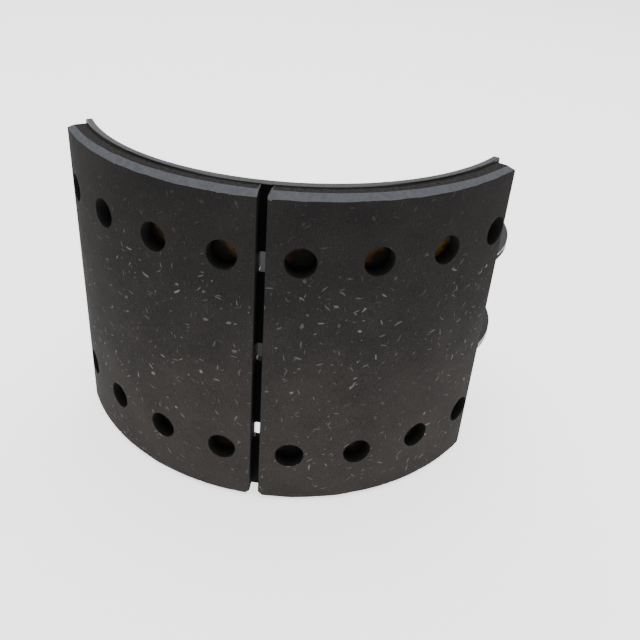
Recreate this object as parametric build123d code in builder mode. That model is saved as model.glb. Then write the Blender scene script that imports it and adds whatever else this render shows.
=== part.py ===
from build123d import *
import os
from math import cos, degrees, radians, sin, sqrt

# Brake shoe for an S-cam drum brake, one of the pair that works in a drum 300 mm across
# and 200 mm wide. It is modelled as it stands on the edge of its table: the drum axis is
# vertical, the crown of the arc faces -Y, the anchor end is at +X and the cam end at -X.
# The origin is the centre of the anchor pin bore, half way between the webs.
# Millimetres and degrees. Angles about the drum axis run from the crown, positive
# toward the anchor end.

os.makedirs("parts", exist_ok=True)

# Where the anchor pin lies from the drum axis
anchor_reach = 112.0
anchor_depth = 29.0

# Linings: two blocks with a gap at the crown
lining_radius = 150.0
lining_thickness = 11.0
lining_width = 200.0
lining_end_angle = 57.2
lining_gap = 5.0
edge_bevel_depth = 5.0
edge_bevel_width = 2.4
corner_cut = 4.0

# Table: the rolled strip that carries the linings
table_thickness = 4.0
table_overhang = 0.8
table_end_angle = 58.3
table_edge_bevel = 0.5
slot_length = 12.0
slot_width = 5.0
slot_corner_radius = 1.2
slot_spacing = 57.0

# Rivets: four to a row, two rows to a block
rivet_pitch_angle = 15.3
rivets_per_row = 4
rivet_edge_distance = 36.0
counterbore_diameter = 16.4
lining_left_under_head = 3.0
rivet_hole_diameter = 8.4
rivet_shank_diameter = 8.0
rivet_head_diameter = 15.4
rivet_head_thickness = 1.3
rivet_bore_diameter = 5.4
rivet_bore_depth = 7.5
rivet_tail_diameter = 12.0
rivet_tail_thickness = 1.8
rivet_tail_bevel = 0.7

# Webs: two crescents on edge under the table
web_thickness = 5.0
web_clear_gap = 62.0
web_inner_radius = 83.0
web_inner_end_angle = 62.0
weld_height = 8.0
weld_width = 6.5
weld_start_angle = -40.0
weld_end_angle = 56.5
weld_face_radius = 14.0

# Anchor end of the webs
shoulder_clearance = 1.2
shoulder_height = 5.9
lobe_radius = 66.0
anchor_bore_diameter = 28.0
anchor_foot_length = 48.4
anchor_foot_clearance = 2.0
anchor_toe_round = 12.0
anchor_heel_round = 9.0

# Cam end of the webs
cam_departure_angle = -41.0
cam_end_clearance = 14.0
cam_foot_inner = 86.0
cam_foot_outer = 121.0
cam_foot_round = 4.0
cam_neck_round = 14.0
roller_seat_diameter = 20.0
roller_seat_reach = 104.0
roller_seat_inset = 3.0

# Spring holes through both webs, one near each end
spring_hole_diameter = 10.0
anchor_spring_hole_radius = 94.0
anchor_spring_hole_angle = 66.0
cam_spring_hole_radius = 104.0
cam_spring_hole_angle = -56.0

# Radii, levels and places that follow from the sizes above
table_outer_radius = lining_radius - lining_thickness
table_inner_radius = table_outer_radius - table_thickness
table_width = lining_width + 2 * table_overhang
head_seat_radius = table_outer_radius + lining_left_under_head
tail_seat_radius = sqrt(table_inner_radius**2 - (rivet_tail_diameter / 2) ** 2)
web_level = web_clear_gap / 2
web_outer_level = web_level + web_thickness
shoulder_angle = table_end_angle + degrees(shoulder_clearance / table_inner_radius)

drum = Plane(origin=(-anchor_reach, anchor_depth, 0))
drum_axis = Axis(drum.origin, (0, 0, 1))


def on_arc(radius, angle):
    """Point at a radius and angle about the drum axis, in the drum's own plane."""
    return (radius * sin(radians(angle)), -radius * cos(radians(angle)))


def drum_point(point, height):
    """A point of the drum's plane, raised to a height, in the shoe's own frame."""
    return drum.from_local_coords((*point, height))


def radial_section(angle):
    """Plane through the drum axis: its x is the radius, its y the width of the shoe."""
    x, y = on_arc(1, angle)
    return Plane(origin=drum.origin, x_dir=(x, y, 0), z_dir=(y, -x, 0))


def outward(radius, angle, height):
    """Plane that faces straight out of the drum axis, for a hole or a rivet."""
    x, y = on_arc(1, angle)
    centre = drum_point(on_arc(radius, angle), height)
    return Plane(origin=centre, x_dir=(0, 0, 1), z_dir=(x, y, 0))


rivet_steps = [(step + 0.5) * rivet_pitch_angle for step in range(rivets_per_row)]
rivet_row_level = lining_width / 2 - rivet_edge_distance
rivet_rows = [rivet_row_level, -rivet_row_level]


# Table, with its rivet holes and the three slots under the gap between the linings
with BuildPart() as shoe_table:
    with BuildSketch(radial_section(-table_end_angle)):
        with Locations((table_inner_radius + table_thickness / 2, 0)):
            section = Rectangle(table_thickness, table_width)
        chamfer(section.vertices(), table_edge_bevel)
    revolve(axis=drum_axis, revolution_arc=2 * table_end_angle)
    with Locations(
        *[
            outward(table_outer_radius, side * step, row).location
            for side in (-1, 1)
            for row in rivet_rows
            for step in rivet_steps
        ]
    ):
        Hole(rivet_hole_diameter / 2, depth=2 * table_thickness)
    with BuildSketch(outward(table_inner_radius, 0, 0)):
        with GridLocations(slot_spacing, 1, 3, 1):
            RectangleRounded(slot_length, slot_width, slot_corner_radius)
    extrude(amount=2 * table_thickness, both=True, mode=Mode.SUBTRACT)
shoe_table.part.label = "shoe_table"
export_step(shoe_table.part, "parts/shoe_table.step")


# Linings: ground bevels on the outer edges, cut corners, counterbored rivet holes
for name, side in (("cam_side_lining", -1), ("anchor_side_lining", 1)):
    with BuildPart() as lining:
        with BuildSketch(radial_section(min(0, side * lining_end_angle))):
            with Locations((table_outer_radius + lining_thickness / 2, 0)):
                Rectangle(lining_thickness, lining_width)
        revolve(axis=drum_axis, revolution_arc=lining_end_angle)
        with BuildSketch(drum.offset(-lining_width)):
            with Locations((0, -lining_radius)):
                Rectangle(lining_gap, 4 * lining_thickness)
        extrude(amount=2 * lining_width, mode=Mode.SUBTRACT)
        side_edges = lining.edges().filter_by(GeomType.LINE).filter_by(Axis.Z, reverse=True)
        chamfer(side_edges, corner_cut)
        arcs = lining.edges().filter_by(GeomType.CIRCLE)
        outer_arcs = arcs.filter_by(lambda edge: edge.radius > lining_radius - 0.1)
        for arc in outer_arcs:
            flank = lining.faces().filter_by(Axis.Z).sort_by_distance(arc.center())[0]
            chamfer(arc, edge_bevel_depth, edge_bevel_width, reference=flank)
        with Locations(
            *[
                outward(lining_radius, side * step, row).location
                for row in rivet_rows
                for step in rivet_steps
            ]
        ):
            CounterBoreHole(
                rivet_hole_diameter / 2,
                counterbore_diameter / 2,
                lining_radius - head_seat_radius,
                depth=2 * lining_thickness,
            )
    lining.part.label = name
    export_step(lining.part, f"parts/{name}.step")


# Webs: crescent, broad anchor lobe with the pin bore, tapered cam arm with the roller seat
anchor_centre = (anchor_reach, -anchor_depth)
seat_start = on_arc(table_inner_radius, cam_departure_angle)
seat_end = on_arc(table_inner_radius, shoulder_angle)
shoulder = on_arc(table_inner_radius + shoulder_height, shoulder_angle)
anchor_toe = (anchor_reach + anchor_foot_length / 2, -anchor_foot_clearance)
anchor_heel = (anchor_reach - anchor_foot_length / 2, -anchor_foot_clearance)
inner_start = on_arc(web_inner_radius, web_inner_end_angle)
inner_end = on_arc(web_inner_radius, -web_inner_end_angle)
cam_heel = (-cam_foot_inner, -cam_end_clearance)
cam_toe = (-cam_foot_outer, -cam_end_clearance)
rounded_corners = [
    (anchor_toe, anchor_toe_round),
    (anchor_heel, anchor_heel_round),
    (cam_heel, cam_foot_round),
    (cam_toe, cam_foot_round),
    (inner_end, cam_neck_round),
]
roller_seat_centre = (-roller_seat_reach, -cam_end_clearance - roller_seat_inset)
spring_holes = [
    on_arc(anchor_spring_hole_radius, anchor_spring_hole_angle),
    on_arc(cam_spring_hole_radius, cam_spring_hole_angle),
]

for name, base in (("upper_web", web_level), ("lower_web", -web_outer_level)):
    with BuildPart() as web:
        with BuildSketch(drum.offset(base)) as outline:
            with BuildLine():
                CenterArc(
                    (0, 0),
                    table_inner_radius,
                    cam_departure_angle - 90,
                    shoulder_angle - cam_departure_angle,
                )
                Line(seat_end, shoulder)
                RadiusArc(shoulder, anchor_toe, -lobe_radius)
                Polyline(anchor_toe, anchor_heel, inner_start)
                CenterArc(
                    (0, 0),
                    web_inner_radius,
                    web_inner_end_angle - 90,
                    -2 * web_inner_end_angle,
                )
                Polyline(inner_end, cam_heel, cam_toe, seat_start)
            make_face()
            for corner, corner_radius in rounded_corners:
                sharp = outline.vertices().sort_by_distance(Vector(*corner))[0]
                fillet(sharp, corner_radius)
            with Locations(anchor_centre):
                Circle(anchor_bore_diameter / 2, mode=Mode.SUBTRACT)
            with Locations(roller_seat_centre):
                Circle(roller_seat_diameter / 2, mode=Mode.SUBTRACT)
                with Locations((0, roller_seat_diameter / 2)):
                    Rectangle(roller_seat_diameter, roller_seat_diameter, mode=Mode.SUBTRACT)
            with Locations(*spring_holes):
                Circle(spring_hole_diameter / 2, mode=Mode.SUBTRACT)
        extrude(amount=web_thickness)
    web.part.label = name
    export_step(web.part, f"parts/{name}.step")


# Weld beads: a hollow-faced run along the outer side of each web
for name, side in (("upper_weld_bead", 1), ("lower_weld_bead", -1)):
    root = (table_inner_radius, side * web_outer_level)
    table_leg = (table_inner_radius, side * (web_outer_level + weld_height))
    web_leg = (table_inner_radius - weld_width, side * web_outer_level)
    with BuildPart() as weld_bead:
        with BuildSketch(radial_section(weld_start_angle)):
            with BuildLine():
                Polyline(web_leg, root, table_leg)
                RadiusArc(table_leg, web_leg, side * weld_face_radius)
            make_face()
        revolve(axis=drum_axis, revolution_arc=weld_end_angle - weld_start_angle)
    weld_bead.part.label = name
    export_step(weld_bead.part, f"parts/{name}.step")


# Rivets: flat head in the counterbore, hollow tail rolled over inside the table
head_top = head_seat_radius + rivet_head_thickness
tail_top = tail_seat_radius - rivet_tail_thickness
with BuildPart() as rivet:
    with BuildSketch(Plane.XZ):
        with BuildLine():
            Polyline(
                (0, tail_top + rivet_bore_depth),
                (0, head_top),
                (rivet_head_diameter / 2, head_top),
                (rivet_head_diameter / 2, head_seat_radius),
                (rivet_shank_diameter / 2, head_seat_radius),
                (rivet_shank_diameter / 2, tail_seat_radius),
                (rivet_tail_diameter / 2, tail_seat_radius),
                (rivet_tail_diameter / 2, tail_top + rivet_tail_bevel),
                (rivet_tail_diameter / 2 - rivet_tail_bevel, tail_top),
                (rivet_bore_diameter / 2, tail_top),
                (rivet_bore_diameter / 2, tail_top + rivet_bore_depth),
                close=True,
            )
        make_face()
    revolve(axis=Axis.Z)

number = 0
for side in (-1, 1):
    for row in rivet_rows:
        for step in rivet_steps:
            number += 1
            placed = rivet.part.moved(outward(0, side * step, row).location)
            placed.label = f"rivet_{number:02d}"
            export_step(placed, f"parts/{placed.label}.step")
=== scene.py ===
from itertools import product
from math import asin, cos, pi, radians, sin

import bmesh
import bpy
import numpy as np
from mathutils import Matrix, Vector


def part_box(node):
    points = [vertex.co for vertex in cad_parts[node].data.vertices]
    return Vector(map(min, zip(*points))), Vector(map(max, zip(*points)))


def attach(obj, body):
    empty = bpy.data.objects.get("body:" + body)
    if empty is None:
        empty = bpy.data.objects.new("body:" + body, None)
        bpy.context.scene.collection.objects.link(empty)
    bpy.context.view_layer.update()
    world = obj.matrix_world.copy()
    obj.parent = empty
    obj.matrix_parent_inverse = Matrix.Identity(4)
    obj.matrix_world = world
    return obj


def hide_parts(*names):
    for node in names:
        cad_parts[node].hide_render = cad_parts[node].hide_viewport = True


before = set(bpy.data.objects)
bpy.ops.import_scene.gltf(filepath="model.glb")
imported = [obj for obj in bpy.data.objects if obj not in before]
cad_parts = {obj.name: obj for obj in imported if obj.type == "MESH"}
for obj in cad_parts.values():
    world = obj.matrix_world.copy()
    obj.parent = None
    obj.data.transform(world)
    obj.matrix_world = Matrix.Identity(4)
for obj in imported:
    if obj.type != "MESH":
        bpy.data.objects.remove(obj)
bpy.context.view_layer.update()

mm = 0.001


# ---------------------------------------------------------------------------
# The shoe table: a 4 mm steel strip rolled to the drum's curve, which carries
# everything else. It is pierced for sixteen rivets and three slots, and the
# inside keeps the rows of small dents that the feed rolls pressed into it.

table_outer = 139 * mm
table_inner = 135 * mm
table_low, table_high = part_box("shoe_table")
drum_x = (table_low.x + table_high.x) / 2
drum_y = table_low.y + table_outer
sheared_edge = 0.5 * mm
dent_pitch_round = 9 * mm
dent_pitch_across = 5.6 * mm
dent_length = 3.4 * mm
dent_width = 1.1 * mm
dent_depth = 0.18 * mm

paint_black = (0.0085, 0.0087, 0.0095, 1)
paint_worn = (0.02, 0.0205, 0.022, 1)
paint_edge = (0.036, 0.037, 0.040, 1)
paint_gloss = 0.43
peel_depth = 0.12 * mm
rubbed_width = 0.3 * mm
# How fine each mark in the paint is, in waves to the metre.
orange_peel = 420
sags = 45
dull_patches = 60
dust = 1500
rubbed_patches = 120
dented_patches = 22


class Wire:
    """The output of a shader node. Sums on it, with numbers or other wires, add Math nodes."""

    def __init__(self, recipe, socket):
        self.recipe = recipe
        self.socket = socket

    def __add__(self, other):
        return self.recipe.math("ADD", self, other)

    def __sub__(self, other):
        return self.recipe.math("SUBTRACT", self, other)

    def __mul__(self, other):
        return self.recipe.math("MULTIPLY", self, other)

    def __truediv__(self, other):
        return self.recipe.math("DIVIDE", self, other)

    def __mod__(self, other):
        return self.recipe.math("FLOORED_MODULO", self, other)

    def __rsub__(self, other):
        return self.recipe.math("SUBTRACT", other, self)

    def __rtruediv__(self, other):
        return self.recipe.math("DIVIDE", other, self)

    def __abs__(self):
        return self.recipe.math("ABSOLUTE", self)

    __radd__ = __add__
    __rmul__ = __mul__


class Recipe:
    """A material or a sky being mixed: its nodes, their links and its one shader."""

    def __init__(self, name, kind="materials", shader="Principled BSDF"):
        self.made = getattr(bpy.data, kind).new(name)
        self.made.use_nodes = True
        self.tree = self.made.node_tree
        self.shader = self.tree.nodes[shader]

    def feed(self, socket, value):
        """Links a wire to a socket, or sets the socket to a value."""
        if isinstance(value, Wire):
            self.tree.links.new(value.socket, socket)
        else:
            socket.default_value = value

    def node(self, kind, settings, sockets, output=0):
        """Adds a node: its settings first, then the values or wires of its sockets."""
        made = self.tree.nodes.new("ShaderNode" + kind)
        for name, value in settings.items():
            setattr(made, name, value)
        for name, value in sockets.items():
            self.feed(made.inputs[name], value)
        return Wire(self, made.outputs[output])

    def math(self, operation, *values):
        """Adds a Math node: its operation, then its numbers or wires in order."""
        return self.node("Math", {"operation": operation}, dict(enumerate(values)))

    def step(self, value, low, high):
        """0 below low and 1 above high, with a smooth rise between them."""
        settings = {"interpolation_type": "SMOOTHSTEP"}
        sockets = {"Value": value, "From Min": low, "From Max": high}
        return self.node("MapRange", settings, sockets)

    def mix(self, factor, first, second):
        """A colour that goes from the first to the second as the factor goes from 0 to 1."""
        return self.node("Mix", {"data_type": "RGBA"}, {0: factor, 6: first, 7: second}, 2)

    def vector(self, x, y, z):
        """Three numbers or wires as one vector."""
        return self.node("CombineXYZ", {}, {"X": x, "Y": y, "Z": z})

    def split(self, vector):
        """The three parts of a vector, or of a colour."""
        first = self.node("SeparateXYZ", {}, {0: vector})
        return [Wire(self, output) for output in first.socket.node.outputs]

    def places(self):
        """The x, y and z of a point of the object, in metres."""
        return self.split(self.node("TexCoord", {}, {}, "Object"))

    def unrolled(self, radius):
        """A point laid out flat: its length round the drum axis, its height and its reach.

        The length is the radius times the turn from the crown, whose tangent is the
        distance to the side of the axis over the distance in front of it. The reach is
        the distance from the axis.
        """
        x, y, z = self.places()
        aside = x - drum_x
        ahead = drum_y - y
        turn = self.math("ARCTAN2", aside, ahead)
        reach = self.math("SQRT", aside * aside + ahead * ahead)
        return turn * radius, z, reach

    def noise(self, vector, scale, detail=3.0, roughness=0.55):
        """Smooth noise between 0 and 1, with the scale in waves to the metre."""
        sockets = {"Vector": vector, "Scale": scale, "Detail": detail, "Roughness": roughness}
        return self.node("TexNoise", {}, sockets)

    def bump(self, height, strength, distance, under=None):
        """The normal of a relief as high as its height, from 0 to 1, times the distance."""
        sockets = {"Height": height, "Strength": strength, "Distance": distance}
        if under:
            sockets["Normal"] = under
        return self.node("Bump", {}, sockets)

    def finish(self, **sockets):
        """Sets the sockets of the shader, named with _ for a space."""
        for name, value in sockets.items():
            self.feed(self.shader.inputs[name.replace("_", " ")], value)
        return self.made


def black_paint(name, wear=None):
    """Glossy black dip paint over steel, with a faint orange peel, dust and dulled patches.

    The wear is a function that takes the recipe and the paint's colour, roughness and
    normal. It returns the colour, the metallic share, the roughness and the normal worn.
    """
    recipe = Recipe(name)
    point = recipe.vector(*recipe.places())
    peel = recipe.noise(point, orange_peel, 2.0)
    sagged = recipe.noise(point, sags, 2.0)
    dull = recipe.step(recipe.noise(point, dull_patches, 4.0, 0.6), 0.45, 0.75)
    dusty = recipe.step(recipe.noise(point, dust, 1.0), 0.70, 0.78)
    normal = recipe.bump(peel * 0.6 + sagged, 0.35, peel_depth)
    colour = recipe.mix(dull * 0.35 + dusty * 0.3, paint_black, paint_worn)
    roughness = 0.2 + dull * 0.12 + dusty * 0.3
    metallic = 0.0
    if wear:
        colour, metallic, roughness, normal = wear(recipe, colour, roughness, normal)
    return recipe.finish(
        Base_Color=colour,
        Metallic=metallic,
        Roughness=roughness,
        Normal=normal,
        Specular_IOR_Level=paint_gloss,
    )


def table_wear(recipe, colour, roughness, normal):
    """Sheared edges rubbed grey, a black outside that is part scale and part painted shade, and
    dents on the inside.

    The dents are ellipses in staggered rows, in patches: where the squares of the
    distances along and across, over half the length and half the width, add to less than 1.
    """
    point = recipe.vector(*recipe.places())
    along, across, reach = recipe.unrolled(table_inner)
    row = recipe.math("ROUND", across / dent_pitch_across)
    half_pitch = dent_pitch_round / 2
    from_dent = (along + (row % 2) * half_pitch + half_pitch) % dent_pitch_round - half_pitch
    from_row = across - row * dent_pitch_across
    outside = recipe.math("POWER", from_dent / dent_length * 2, 2.0)
    outside = outside + recipe.math("POWER", from_row / dent_width * 2, 2.0)
    patch = recipe.step(recipe.noise(point, dented_patches, 1.0), 0.46, 0.56)
    inside = 1 - recipe.step(reach, table_inner + 0.4 * mm, table_inner + 0.6 * mm)
    dent = (1 - recipe.step(outside, 0.2, 1.0)) * patch * inside
    normal = recipe.bump(1 - dent, 1.0, dent_depth, normal)
    rubbed = recipe.step(abs(across), table_high.z - rubbed_width, table_high.z - 0.1 * mm)
    rubbed = rubbed * recipe.step(recipe.noise(point, rubbed_patches, 3.0), 0.2, 0.55)
    colour = recipe.mix(rubbed, colour, paint_edge)
    # Part scale, part painted shade: the outer face under the linings is made black metal and
    # dull, so that it stays dark where it shows in the gap and the slots.
    scale = recipe.step(reach, table_outer - 0.3 * mm, table_outer - 0.1 * mm)
    scale = scale * recipe.step(abs(across), table_high.z - sheared_edge, table_high.z - 1 * mm)
    return colour, scale, roughness + rubbed * 0.25 + scale * 0.6, normal


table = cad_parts["shoe_table"]
table.data.materials.clear()
table.data.materials.append(black_paint("black_paint_table", table_wear))


# ---------------------------------------------------------------------------
# The two webs: crescents of 5 mm plate, blanked with broken edges, that stand
# on edge inside the table and take the anchor pin and the cam roller.

web_inner = 31 * mm
web_outer = 36 * mm
web_thickness = web_outer - web_inner
torn_height = web_thickness * 0.65
rolled_height = web_thickness - 0.95 * mm
torn_waver = 0.8 * mm
torn_depth = 0.4 * mm
# How fine the marks on the blanked edge are, in waves to the metre.
torn_line = 350
torn_patches = 900
torn_grain = 1100


def web_wear(recipe, colour, roughness, normal):
    """The blanked edge: a fracture zone below, a bright band, and a rolled corner on top. The
    black of the zone below and of the corner on top is part real blanking marks and part
    painted shade along the edge's lower and upper corners.

    The height is measured from the lower face of either web. The line between the fracture
    zone and the band wavers, and the lower web's edge is black in smaller patches, so the
    upper web's edge carries more painted shade.
    """
    x, y, z = recipe.places()
    point = recipe.vector(x, y, z)
    height = (z - web_inner) % (web_inner + web_outer)
    ragged = recipe.noise(recipe.vector(x, y, 0.0), torn_line, 2.0) * torn_waver
    torn_and_shaded = 1 - recipe.step(height + ragged, torn_height - 0.25 * mm, torn_height + 0.25 * mm)
    torn_and_shaded = torn_and_shaded * recipe.step(height, 0.1 * mm, 0.3 * mm)
    patches = recipe.noise(point, torn_patches, 2.0) + recipe.step(z, -1 * mm, 1 * mm) * 0.2
    torn_and_shaded = torn_and_shaded * recipe.step(patches, 0.42, 0.60)
    rolled = recipe.step(height, rolled_height - 0.15 * mm, rolled_height + 0.15 * mm)
    top = recipe.step(height, web_thickness - 0.03 * mm, web_thickness - 0.1 * mm)
    # Painted shade as well as blanking marks: the lower zone and the rolled corner are made black
    # metal and dull, for the shade along the edge's lower and upper corners, more on the upper
    # web.
    scale = recipe.math("MAXIMUM", torn_and_shaded, rolled * top)
    normal = recipe.bump(recipe.noise(point, torn_grain, 2.0) * torn_and_shaded, 0.8, torn_depth, normal)
    return colour, scale, roughness + scale * 0.6, normal


web_paint = black_paint("black_paint_web", web_wear)
for name in ("upper_web", "lower_web"):
    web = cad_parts[name]
    web.data.materials.clear()
    web.data.materials.append(web_paint)


# ---------------------------------------------------------------------------
# The weld beads: one run of arc weld along the outside of each web. The runs
# aren't ground, so that their ripples show under the paint.

weld_height = 8 * mm
weld_width = 6.5 * mm
weld_hollow = 1.0 * mm
weld_start = radians(-40)
weld_end = radians(56.5)
weld_step = 0.5 * mm
weld_points = 20
weld_taper = 7 * mm
weld_waver = 0.35 * mm
weld_root = 0.1 * mm
ripple_pitch = 2.3 * mm
ripple_rise = 0.16 * mm
ripple_shake = 0.18
ripple_bow = 3.6
ripple_tip = 0.45
sharp_corner = radians(32)


def around(radius, turn, height):
    """Points about the drum axis.

    x is the radius times the sine of the turn past the axis, y the radius times its
    cosine in front of the axis, and z is the height.
    """
    aside = drum_x + radius * np.sin(turn)
    ahead = drum_y - radius * np.cos(turn)
    return np.stack(np.broadcast_arrays(aside, ahead, height), axis=-1)


def shell(name, rings, sharp=sharp_corner):
    """A closed solid from a grid of points.

    Each row of the grid is a closed ring. Four-sided faces join each ring to the next,
    and one flat face closes the first ring and one the last.
    """
    rows, columns = rings.shape[:2]
    index = np.arange(rows * columns).reshape(rows, columns)
    beside = np.roll(index, -1, axis=1)
    sides = np.stack([index[:-1], beside[:-1], beside[1:], index[1:]], axis=-1)
    faces = sides.reshape(-1, 4).tolist() + [index[0].tolist(), index[-1].tolist()]
    mesh = bpy.data.meshes.new(name)
    mesh.from_pydata(rings.reshape(-1, 3), [], faces)
    shape = bmesh.new()
    shape.from_mesh(mesh)
    bmesh.ops.recalc_face_normals(shape, faces=shape.faces)
    shape.to_mesh(mesh)
    shape.free()
    mesh.shade_smooth()
    mesh.set_sharp_from_angle(angle=sharp)
    piece = bpy.data.objects.new(name, mesh)
    bpy.context.scene.collection.objects.link(piece)
    return piece


def wander(seed, count, width):
    """Smooth random values, about 1 in size: white noise averaged under a Gaussian.

    The width is the Gaussian's, in values.
    """
    reach = int(3 * width) + 1
    bell = np.exp(-0.5 * (np.arange(-reach, reach + 1) / width) ** 2)
    noise = np.random.default_rng(seed).normal(size=count + 2 * reach)
    return np.convolve(noise, bell / np.sqrt((bell**2).sum()), mode="valid")


def weld_run(side, seed):
    """A run of weld in the corner between a web and the table.

    Across the run a point goes from the toe on the web to the toe on the table. The face
    is the straight line between the toes, sunk by a parabola and raised by ripples whose
    crests bow along the run. Toward each end the section shrinks into the corner.
    """
    count = int((weld_end - weld_start) * table_inner / weld_step)
    along = np.linspace(0, (weld_end - weld_start) * table_inner, count)[:, None]
    across = np.linspace(0, 1, weld_points)[None, :]
    drift = np.cumsum(1 + ripple_shake * wander(seed, count, 6))[:, None] * weld_step
    ripple = np.sin(2 * pi * (drift / ripple_pitch + ripple_bow * (across - ripple_tip) ** 2))
    swell = 0.5 + 0.5 * np.clip(wander(seed + 1, count, 30), -1, 1)[:, None]
    bow = 4 * across * (1 - across)
    sunk = weld_hollow * bow - ripple_rise * ripple * bow * (0.55 + 0.45 * swell)
    web_toe = weld_width + weld_waver * wander(seed + 2, count, 7)[:, None]
    table_toe = weld_height + weld_waver * wander(seed + 3, count, 7)[:, None]
    near_end = np.clip(np.minimum(along, along[-1] - along) / weld_taper, 0, 1)
    full = 0.25 + 0.75 * np.sqrt(near_end * (2 - near_end))
    fall = (web_toe * (1 - across) - sunk * 0.75) * full
    rise = (table_toe * across - sunk * 0.65) * full
    root = np.full((count, 1), -weld_root)
    fall = np.hstack([fall, root])
    rise = np.hstack([rise, root])
    turn = weld_start + along / table_inner
    return around(table_inner - fall, turn, side * (web_outer + rise))


paint = black_paint("black_paint")
for name, side, seed in (("upper_weld_bead", 1, 11), ("lower_weld_bead", -1, 23)):
    bead = shell(name.replace("_bead", "_run"), weld_run(side, seed), sharp=radians(60))
    bead.data.materials.append(paint)
    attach(bead, "root")
    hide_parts(name)


# ---------------------------------------------------------------------------
# The linings: two blocks of moulded friction material, ground to the drum's
# radius and bevelled along both edges. Resin, fibre and metal chips show in
# the ground face.

lining_radius = 150 * mm
lining_half_width = 100 * mm
lining_dark = (0.0100, 0.0097, 0.0096, 1)
lining_light = (0.0365, 0.0328, 0.0308, 1)
moulded_dark = (0.016, 0.0155, 0.015, 1)
moulded_light = (0.034, 0.033, 0.032, 1)
# The black of the painted shadow along the flanks.
painted_shadow_dark = (0.011, 0.0107, 0.0103, 1)
bevel_grey = (0.082, 0.087, 0.096, 1)
chip_grey = (0.135, 0.132, 0.124, 1)
chip_rust = (0.085, 0.055, 0.038, 1)
# How fine the grain of the compound is, in waves to the metre.
lining_grain = 1500
lining_streaks = 900
lining_clouds = 38
chip_crowds = 20
chip_bends = 500
bevel_blotches = 420
moulded_mottle = 480

# The kinds of chips, in the order in which they cover each other: the cell that may hold
# one, its length and width, the share of the cells that do, how far the pattern is shifted,
# how strongly a chip shows where chips are few, how much more where they crowd, its colour.
chip_kinds = [
    (7 * mm, 1.2 * mm, 0.7 * mm, 0.30, 0.7, 0.15, 0.5, chip_rust),
    (2.2 * mm, 0.7 * mm, 0.6 * mm, 0.18, 0.1, 0.05, 0.4, chip_grey),
    (9 * mm, 5.2 * mm, 0.6 * mm, 0.45, 0.4, 0.0, 0.8, chip_grey),
    (5 * mm, 2.2 * mm, 0.9 * mm, 0.30, 0.6, 0.0, 0.6, chip_grey),
    (11 * mm, 5.8 * mm, 1.1 * mm, 0.45, 0.2, 0.0, 1.0, chip_grey),
    (17 * mm, 3.6 * mm, 1.9 * mm, 0.50, 0.9, 0.0, 1.0, chip_grey),
]
chip_shake = 0.7 * mm
# The heights between which the crowds of chips thin out toward the upper edge.
chips_gone = 72 * mm
chips_full = 38 * mm
# The painted shadow on a flank, a black line from the table out to where it has faded.
painted_shadow_line = 1.5 * mm
painted_shadow_end = 2.3 * mm
lining_pits = 0.15 * mm


def flakes(recipe, flat, cell, length, width, share, shift):
    """A mask of chips, one in some of the cells of a Voronoi pattern.

    In its cell each chip lies at a random turn: it is where the distance along it is under
    half its length and the distance across it is under half its width, which tapers toward
    its tips. The pattern's points are shaken by noise first, so that no chip is quite straight.
    """
    moved = recipe.node("VectorMath", {"operation": "ADD"}, {0: flat, 1: (shift, -shift, 0)})
    settings = {"voronoi_dimensions": "2D"}
    sockets = {"Vector": moved, "Scale": 1 / cell, "Randomness": 0.9}
    middle = recipe.node("TexVoronoi", settings, sockets, "Position")
    lot = recipe.node("TexVoronoi", settings, sockets, "Color")
    apart = recipe.node("VectorMath", {"operation": "SUBTRACT"}, {0: moved, 1: middle})
    chance, turn, size = recipe.split(lot)
    turn = turn * (2 * pi)
    x, y = recipe.split(apart)[:2]
    cosine = recipe.math("COSINE", turn)
    sine = recipe.math("SINE", turn)
    curl = (size - 0.5) * 0.5 / length
    lengthwise = x * cosine + y * sine
    widthwise = abs(y * cosine - x * sine + lengthwise * lengthwise * curl)
    reached = abs(lengthwise) / (length * (0.25 + size * 0.3))
    spare = 1 - reached * reached
    inside = recipe.step(spare - widthwise / (width * (0.35 + size * 0.3)), 0.0, 0.5)
    return inside * recipe.math("LESS_THAN", chance, share) * (1 - chance / share * 0.8)


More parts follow.
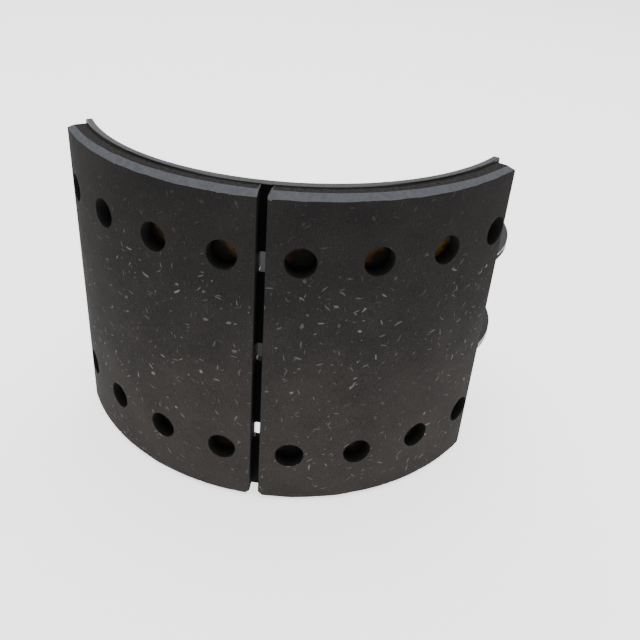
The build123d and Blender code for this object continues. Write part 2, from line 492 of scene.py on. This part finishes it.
def friction_material():
    """Friction compound: dark resin with pale chips on the drum face, grey bevels, dull flanks.

    The drum face is painted lighter toward the lower edge and darker toward the upper one:
    painted light from the floor below and painted shade at the top. The chips are crowded
    in patches away from the upper edge. Each flank has a painted shadow, a black line
    along the table.
    """
    recipe = Recipe("friction_material")
    along, across, reach = recipe.unrolled(lining_radius)
    ground = recipe.node("Attribute", {"attribute_name": "ground"}, {}, "Fac")
    bevelled = recipe.node("Attribute", {"attribute_name": "bevel"}, {}, "Fac")
    flank = recipe.node("Attribute", {"attribute_name": "flank"}, {}, "Fac")
    point = recipe.vector(along, across, reach)
    upright = recipe.vector(along * 3.0, across * 0.25, reach)
    streaks = recipe.noise(upright, lining_streaks, 2.0)
    level = recipe.vector(along * 0.2, across * 3.0, reach)
    crossing = recipe.noise(level, lining_streaks, 2.0)
    grain = recipe.noise(point, lining_grain, 2.0)
    cloud = recipe.noise(point, lining_clouds, 3.0)
    tone = streaks * 0.35 + crossing * 0.2 + grain * 0.45
    # Painted light and shade: lift rises from 0 at the upper edge to 1 at the lower, so the face
    # is painted lighter toward the floor below and darker toward the top.
    lift = recipe.step(across, lining_half_width * 1.1, -lining_half_width * 0.9)
    tone = recipe.step(tone + (cloud - 0.5) * 0.25 + (lift - 0.5) * 0.16, 0.28, 0.72)
    face = recipe.mix(tone, lining_dark, lining_light)
    # Painted shade: the face is darkened toward the upper edge.
    face = recipe.mix((1 - lift) * 0.5, face, lining_dark)
    sockets = {"Vector": point, "Scale": chip_bends, "Detail": 1.0}
    shake = recipe.node("TexNoise", {}, sockets, "Color")
    shake = recipe.node("VectorMath", {"operation": "SCALE"}, {0: shake, "Scale": chip_shake})
    flat = recipe.node("VectorMath", {"operation": "ADD"}, {0: point, 1: shake})
    flat = recipe.node("VectorMath", {"operation": "MULTIPLY"}, {0: flat, 1: (1, 1, 0)})
    crowd = recipe.step(recipe.noise(point, chip_crowds, 2.0), 0.30, 0.62)
    crowd = crowd * recipe.step(across, chips_gone, chips_full) * 0.85 + 0.12
    for cell, length, width, share, shift, least, more, colour in chip_kinds:
        chips = flakes(recipe, flat, cell, length, width, share, shift)
        face = recipe.mix(chips * (crowd * more + least), face, colour)
    blotch = recipe.step(recipe.noise(point, bevel_blotches, 4.0), 0.30, 0.70)
    bevel_tone = recipe.mix(blotch * 0.35, bevel_grey, moulded_light)
    mottle = recipe.step(recipe.noise(point, moulded_mottle, 4.0, 0.65), 0.3, 0.72)
    side = recipe.mix(mottle, moulded_dark, moulded_light)
    # Painted shadow: each flank is painted black in a line along the table, fading out past it.
    clear = recipe.step(reach - table_outer + mottle * 0.5 * mm, painted_shadow_line, painted_shadow_end)
    side = recipe.mix(flank * clear, painted_shadow_dark, side)
    colour = recipe.mix(bevelled, recipe.mix(ground, side, face), bevel_tone)
    normal = recipe.bump(streaks + grain * 0.7, 0.5, lining_pits)
    return recipe.finish(
        Base_Color=colour, Roughness=0.75, Normal=normal, Specular_IOR_Level=0.025
    )


lining_end = radians(57.2)
lining_gap = 5 * mm
bevel_depth = 5.0 * mm
bevel_width = 2.4 * mm
bevel_slims = 0.3
bevel_waver = 0.10 * mm
bevel_nicks = 0.06 * mm
bevel_rough = 0.02 * mm
notch_rarity = 1.9
notch_depth = 0.9 * mm
end_cut = 3 * mm
gap_cut_top = {-1: 0.6 * mm, 1: 1.8 * mm}
gap_cut_foot = 5.0 * mm
edge_break = 0.3 * mm
lining_rings = 190
bevel_points = 6
face_points = 59
flank_points = 3
rivet_pitch = radians(15.3)
rivet_row = 64 * mm
head_seat = table_outer + 3 * mm
counterbore = 8.2 * mm
counterbore_depth = lining_radius - head_seat
rivet_hole = 4.2 * mm
rim_wear = 0.22 * mm
rim_rough = 0.06 * mm
rim_chips = 0.10 * mm
hole_points = 56


def turned(profile, turn, height, count):
    """Rings of a turned solid on a line straight out of the drum axis.

    The profile's first column is a distance from that line and its second a distance
    from the drum axis. Each point of it is carried round the line in a circle, or as far
    as an array with a distance for each step of the circle says.
    """
    radius, reach = profile
    spin = np.linspace(0, 2 * pi, count, endpoint=False)[None, :]
    aside = radius * np.cos(spin)
    lift = radius * np.sin(spin)
    reach = np.broadcast_to(reach, aside.shape)
    x = drum_x + reach * sin(turn) + aside * cos(turn)
    y = drum_y - reach * cos(turn) + aside * sin(turn)
    return np.stack([x, y, height + lift], axis=-1)


def lining_block(side, seed):
    """One friction block, as rings across its width carried from the gap to its far end.

    A ring runs up the inner face, out along the flank, down the bevel and across the
    ground face. The bevels' edges wander, with a notch here and there, and the bevels get
    shallower toward the far end. Near the ends the heights are held inside the cut
    corners, and the ground face falls a little.
    """
    length = lining_radius * lining_end
    cuts = [edge_break, gap_cut_top[side], gap_cut_foot, length - end_cut, length - edge_break]
    along = np.unique(np.concatenate([np.linspace(0, length, lining_rings), cuts]))
    count = len(along)
    to_end = np.minimum(along, length - along)
    slimmer = 1 - bevel_slims * (along / length) ** 2
    bevel = np.linspace(0, 1, bevel_points)
    face = np.linspace(1, -1, face_points + 2)[1:-1]
    flank_end = lining_radius - bevel_depth - 0.6 * mm
    flank = np.linspace(table_outer, flank_end, flank_points + 1)[:-1]
    radii, heights = [], []
    for edge in (1, -1):
        notch = np.clip(wander(seed + edge + 1, count, 1.2) - notch_rarity, 0, 1) * notch_depth
        rough = wander(seed + edge + 20, count * bevel_points, 0.6)
        rough = bevel_rough * rough.reshape(count, bevel_points)
        low = bevel_width * slimmer + bevel_waver * wander(seed + edge + 4, count, 4) + notch
        low = low + bevel_nicks * wander(seed + edge + 40, count, 1)
        depth = bevel_depth * slimmer + bevel_waver * wander(seed + edge + 8, count, 3)
        radius = lining_radius - depth[:, None] * (1 - bevel) + rough * bevel * (1 - bevel) * 4
        height = edge * (lining_half_width - low[:, None] * bevel)
        radius = np.hstack([np.tile(flank, (count, 1)), radius])
        straight = np.full((count, flank_points), edge * lining_half_width)
        height = np.hstack([straight, height])
        radii.append(radius[:, ::edge])
        heights.append(height[:, ::edge])
    middle_height = heights[0][:, -1:] * (1 + face) / 2 + heights[1][:, :1] * (1 - face) / 2
    radius = np.hstack([radii[0], np.full((count, len(face)), lining_radius), radii[1]])
    height = np.hstack([heights[0], middle_height, heights[1]])
    cut_at_end = np.clip(end_cut - (length - along), 0, None)
    cut_above = np.maximum(cut_at_end, np.clip(gap_cut_top[side] - along, 0, None))
    cut_below = np.maximum(cut_at_end, np.clip(gap_cut_foot - along, 0, None))
    height = np.minimum(height, lining_half_width - cut_above[:, None])
    height = np.maximum(height, cut_below[:, None] - lining_half_width)
    fall = np.clip(edge_break - to_end, 0, None)[:, None]
    radius = np.minimum(radius, lining_radius - fall)
    gap_turn = np.arcsin(lining_gap / 2 / radius)
    turn = gap_turn + (lining_end - gap_turn) * (along / length)[:, None]
    return around(radius, side * turn, height)


def mark_faces(block):
    """Marks the faces of a block: the drum face, the bevels with the cut corners, the flanks.

    A face is on the drum face if its normal points straight out of the axis, bevelled if it
    lies near an edge and its normal leans, and on a flank if its normal is upright there.
    """
    mesh = block.data
    count = len(mesh.polygons)
    centre = np.empty(count * 3)
    normal = np.empty(count * 3)
    mesh.polygons.foreach_get("center", centre)
    mesh.polygons.foreach_get("normal", normal)
    centre = centre.reshape(-1, 3) - (drum_x, drum_y, 0)
    normal = normal.reshape(-1, 3)
    reach = np.hypot(centre[:, 0], centre[:, 1])
    outward = (normal[:, :2] * centre[:, :2]).sum(axis=1) / reach
    upward = np.abs(normal[:, 2])
    far = np.abs(centre[:, 2]) > lining_half_width - 2 * bevel_width
    drum_face = (outward > 0.9) & (reach > lining_radius - 0.3 * mm)
    leaning = far & (upward < 0.985) & (upward > 0.3) & (reach > table_outer + 0.5 * mm)
    edgewise = (upward >= 0.985) & (np.abs(centre[:, 2]) > lining_half_width - 0.5 * mm)
    marked = {"ground": drum_face, "bevel": leaning & ~drum_face, "flank": edgewise}
    for name, marks in marked.items():
        layer = mesh.attributes.new(name, "FLOAT", "FACE")
        layer.data.foreach_set("value", marks.astype(np.float32))


def drilled(block, holes):
    """Cuts the holes, one mesh of closed solids, out of a block and makes it one mesh again."""
    cut = block.modifiers.new("holes", "BOOLEAN")
    cut.operation = "DIFFERENCE"
    cut.solver = "EXACT"
    cut.object = holes
    whole = block.evaluated_get(bpy.context.evaluated_depsgraph_get())
    mesh = bpy.data.meshes.new_from_object(whole)
    block.modifiers.remove(cut)
    block.data = mesh
    mesh.shade_smooth()
    mesh.set_sharp_from_angle(angle=sharp_corner)
    bpy.data.objects.remove(holes)


def counterbores(side, seed):
    """The stepped holes of one block, each a turned solid whose rim is a little ragged.

    From inside the table each hole goes out at the shank's radius, steps out at the seat
    of the head to the counterbore's, and flares where the drum face has chipped.
    """
    count = hole_points
    deep = counterbore_depth
    reach = [-5 * mm, 0, 0, deep - 1.8 * mm, deep - 0.4 * mm, deep, deep + 0.6 * mm]
    reach = np.array(reach)[:, None] + head_seat
    parts = []
    for number, (row, step) in enumerate(product((1, -1), range(4)), seed + 1):
        ragged = np.resize(wander(number, count, 1.2), (1, count)) * rim_rough
        rim = np.abs(np.resize(wander(number + 50, count, 1.5), (1, count))) * rim_chips
        radius = np.vstack(
            [
                np.full((2, count), rivet_hole),
                np.full((2, count), counterbore) + ragged * 0.4,
                counterbore + rim_wear * 0.2 + ragged * 0.6,
                counterbore + rim_wear + rim + ragged,
                counterbore + rim_wear * 3 + rim * 3 + ragged,
            ]
        )
        turn = side * rivet_pitch * (step + 0.5)
        parts.append(turned((radius, reach), turn, row * rivet_row, count))
    holes = [shell(f"hole_{number}", part) for number, part in enumerate(parts)]
    whole = bmesh.new()
    for hole in holes:
        whole.from_mesh(hole.data)
        bpy.data.objects.remove(hole)
    mesh = bpy.data.meshes.new("holes")
    whole.to_mesh(mesh)
    whole.free()
    cutter = bpy.data.objects.new("holes", mesh)
    bpy.context.scene.collection.objects.link(cutter)
    return cutter


friction = friction_material()
for name, side, seed in (("cam_side_lining", -1, 100), ("anchor_side_lining", 1, 300)):
    block = shell(name.replace("lining", "block"), lining_block(side, seed))
    drilled(block, counterbores(side, seed))
    mark_faces(block)
    block.data.materials.clear()
    block.data.materials.append(friction)
    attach(block, "root")
    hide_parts(name)


# ---------------------------------------------------------------------------
# The rivets: sixteen semi-tubular brass rivets. Each head sits at the bottom
# of its counterbore, and the hollow tail is rolled over inside the table.

rivet_shank = 4.0 * mm
rivet_bore = 2.7 * mm
bore_depth = 7.5 * mm
head_radius = 7.7 * mm
head_thick = 1.3 * mm
head_round = 0.35 * mm
tail_radius = 6.0 * mm
tail_rise = 1.8 * mm
roll_radius = 1.0 * mm
roll_squash = 0.9
lip_waver = 0.10 * mm
# The funnel of the tail, from its lip to the bore: the radius, and the depth below the lip.
funnel = [(3.55 * mm, 1.1 * mm), (3.1 * mm, 1.6 * mm), (2.8 * mm, 2.4 * mm)]
funnel_depth = 3.4 * mm
bore_tip = 0.9 * mm
rim_points = 5
curl_points = 12
ring_points = 40
seated_rings = 4
brass_stains = 260
brass_grain = 900
brass_pits = 0.08 * mm
brass_pale = (0.56, 0.50, 0.42, 1)
bore_brown = (0.24, 0.10, 0.045, 1)
bore_yellow = (0.50, 0.30, 0.11, 1)
lacquer_brown = (0.036, 0.015, 0.006, 1)
lacquer_yellow = (0.050, 0.032, 0.009, 1)
# The black of the painted shade on the rivet heads.
painted_head_shade = (0.004, 0.0036, 0.0032, 1)
# How far painted light, as lit lacquer, reaches over each head against painted shade, a line for
# each row of each block.
painted_lit_heads = [
    *(0.0, 0.2, -0.4, -0.5),
    *(-0.1, -0.4, -0.5, -0.5),
    *(-0.45, 0.1, 0.7, 1.3),
    *(-0.4, 0.1, 0.6, 1.2),
]


def rivet_profile(seed, count):
    """From the head's face round its rim, down the shank, round the rolled tail, to the bore.

    The head's rim is a quarter circle. The tail's lip is most of a circle, squashed along
    the rivet, which opens into a funnel that narrows to the bore. The lip is a little
    uneven all the way round, apart from the rings that are seated on the table.
    """
    seat = table_inner * cos(asin(tail_radius / table_inner))
    rim = np.linspace(0, pi / 2, rim_points)
    radius = [0.2 * mm, head_radius * 0.5, *(head_radius - head_round + head_round * np.sin(rim))]
    reach = [head_seat + head_thick] * 2
    reach += [*(head_seat + head_thick - head_round * (1 - np.cos(rim)))]
    radius += [head_radius, rivet_shank, rivet_shank]
    reach += [head_seat, head_seat, seat]
    shank_rings = len(radius)
    curl = np.linspace(-pi / 2, pi, curl_points)
    radius += [*(tail_radius - roll_radius + roll_radius * np.cos(curl))]
    reach += [*(seat - roll_radius * roll_squash * (1 + np.sin(curl)))]
    lip_rings = len(radius)
    low = seat - tail_rise
    radius += [narrow for narrow, depth in funnel] + [rivet_bore, rivet_bore, bore_tip]
    reach += [low + depth for narrow, depth in funnel] + [low + funnel_depth]
    reach += [low + bore_depth, low + bore_depth + bore_tip]
    radius = np.array(radius)[:, None] * np.ones((1, count))
    reach = np.array(reach)[:, None] * np.ones((1, count))
    uneven = np.resize(wander(seed, count, 3), (1, count)) * lip_waver
    radius[shank_rings:lip_rings] += uneven
    reach[shank_rings + seated_rings : lip_rings] += uneven * 0.6
    hollow = np.zeros(radius.shape)
    hollow[lip_rings - 1 :] = 1
    return radius, reach, hollow


def rivet_metal():
    """Dull brass: pale where the tail is rolled, lacquered in the bore, and lacquered on the head
    with painted shade in black over part of it.
    """
    recipe = Recipe("rivet_brass")
    point = recipe.vector(*recipe.places())
    hollow = recipe.node("Attribute", {"attribute_name": "hollow"}, {}, "Fac")
    tint = recipe.node("Attribute", {"attribute_name": "tint"}, {}, "Fac")
    painted_lit_share = recipe.node("Attribute", {"attribute_name": "painted_lit_share"}, {}, "Fac")
    reach = recipe.unrolled(table_outer)[2]
    stain = recipe.step(recipe.noise(point, brass_stains, 3.0), 0.35, 0.7)
    headward = recipe.step(reach, table_outer, table_outer + 2 * mm)
    head = recipe.mix(recipe.step(tint + stain - 0.5, 0.2, 0.8), lacquer_yellow, lacquer_brown)
    # Painted light and shade: each head shows its lit lacquer on one part and is painted black as
    # shade on the rest.
    head = recipe.mix(recipe.step(painted_lit_share + stain * 0.5, 0.05, 0.85), painted_head_shade, head)
    bore = recipe.mix(tint, bore_yellow, bore_brown)
    colour = recipe.mix(headward, recipe.mix(hollow * 0.9, brass_pale, bore), head)
    normal = recipe.bump(recipe.noise(point, brass_grain, 2.0), 0.4, brass_pits)
    return recipe.finish(
        Base_Color=colour,
        Metallic=1.0 - headward * 0.8,
        Roughness=0.3 + stain * 0.15 + headward * 0.3,
        Normal=normal,
        Specular_IOR_Level=0.02,
    )


brass = rivet_metal()
spin = np.linspace(0, 2 * pi, ring_points, endpoint=False)
for number, (side, row, step) in enumerate(product((-1, 1), (1, -1), range(4)), 1):
    radius, reach, hollow = rivet_profile(500 + number, ring_points)
    turn = side * rivet_pitch * (step + 0.5)
    rings = turned((radius, reach), turn, row * rivet_row, ring_points)
    rivet = shell(f"tubular_rivet_{number:02d}", rings, sharp=radians(50))
    tint = np.full(radius.shape, np.random.default_rng(number).uniform(0, 1))
    # Painted light: each head is lighter toward one side, as if lit across its counterbore,
    # shifted by its listed share.
    painted_lit_share = radius / head_radius * (0.65 * np.sin(spin) - side * 0.75 * np.cos(spin))
    painted_lit_share = painted_lit_share + painted_lit_heads[number - 1]
    for mark, values in (("hollow", hollow), ("tint", tint), ("painted_lit_share", painted_lit_share)):
        layer = rivet.data.attributes.new(mark, "FLOAT", "POINT")
        layer.data.foreach_set("value", values.ravel().astype(np.float32))
    rivet.data.materials.append(brass)
    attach(rivet, "root")
    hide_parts(f"rivet_{number:02d}")


# ---------------------------------------------------------------------------
# Studio: a pale floor that glows a little, a sky that is bright near the horizon
# and behind the shoe, and one wide soft box overhead.

floor_size = 30.0
floor_pale = (0.9, 0.9, 0.9, 1)
floor_glow = 1.6
horizon_glow = 2.3
panel_glow = 0.65
sky_dim = 0.1
# Where the bright parts of the sky fade, by the depth or the height of a direction 1 long.
horizon_top = (0.12, 0.25)
panel_side = (0.1, 0.5)
panel_top = (0.62, 0.8)
box_width = 4.0
box_height = 3.0
box_watts = 211
white = (1, 1, 1, 1)
floor_recipe = Recipe("pale_floor")
floor_mesh = bpy.data.meshes.new("floor")
half = floor_size / 2
corners = [(-half, -half), (half, -half), (half, half), (-half, half)]
floor_mesh.from_pydata([(x, y, table_low.z) for x, y in corners], [], [(0, 1, 2, 3)])
floor = bpy.data.objects.new("floor", floor_mesh)
bpy.context.scene.collection.objects.link(floor)
floor_mesh.materials.append(
    floor_recipe.finish(
        Base_Color=floor_pale,
        Roughness=0.9,
        Emission_Color=white,
        Emission_Strength=floor_glow,
    )
)

sky = Recipe("studio", "worlds", "Background")
toward = sky.node("TexCoord", {}, {}, "Generated")
behind, rise = sky.split(toward)[1:]
horizon = 1 - sky.step(rise, *horizon_top)
panel = sky.step(behind, *panel_side) * (1 - sky.step(rise, *panel_top))
glow = sky.math("MAXIMUM", horizon * horizon_glow, panel * panel_glow)
bpy.context.scene.world = sky.finish(Color=white, Strength=glow + sky_dim)

box_light = bpy.data.lights.new("overhead", "AREA")
box_light.shape = "RECTANGLE"
box_light.size = box_width
box_light.size_y = box_width
box_light.energy = box_watts
soft_box = bpy.data.objects.new("overhead", box_light)
soft_box.location = (drum_x, drum_y, box_height)
bpy.context.scene.collection.objects.link(soft_box)


# ---------------------------------------------------------------------------
# Camera: it looks down on the shoe from the front, a little to the anchor side, and
# leans a little to one side.

camera_turn = radians(6.34)
camera_rise = radians(27.76)
camera_roll = radians(3.2)
camera_distance = 495.9 * mm
image_size = 640
focal_pixels = 681.5
image_centre = (295.4, 236.4)

back = Vector(
    (sin(camera_turn) * cos(camera_rise), -cos(camera_turn) * cos(camera_rise), sin(camera_rise))
)
level = Vector((cos(camera_turn), sin(camera_turn), 0))
upright = back.cross(level)
right = cos(camera_roll) * level + sin(camera_roll) * upright
up = cos(camera_roll) * upright - sin(camera_roll) * level
lens = bpy.data.cameras.new("camera")
lens.sensor_fit = "HORIZONTAL"
lens.sensor_width = 36
lens.lens = focal_pixels / image_size * lens.sensor_width
lens.shift_x = (image_size / 2 - image_centre[0]) / image_size
lens.shift_y = (image_centre[1] - image_size / 2) / image_size
lens.clip_start = 0.01
lens.clip_end = 100
camera = bpy.data.objects.new("camera", lens)
facing = Matrix((right, up, back)).transposed().to_4x4()
standing = Matrix.Translation(Vector((drum_x, drum_y, 0)) + back * camera_distance)
camera.matrix_world = standing @ facing
bpy.context.scene.collection.objects.link(camera)
bpy.context.scene.camera = camera
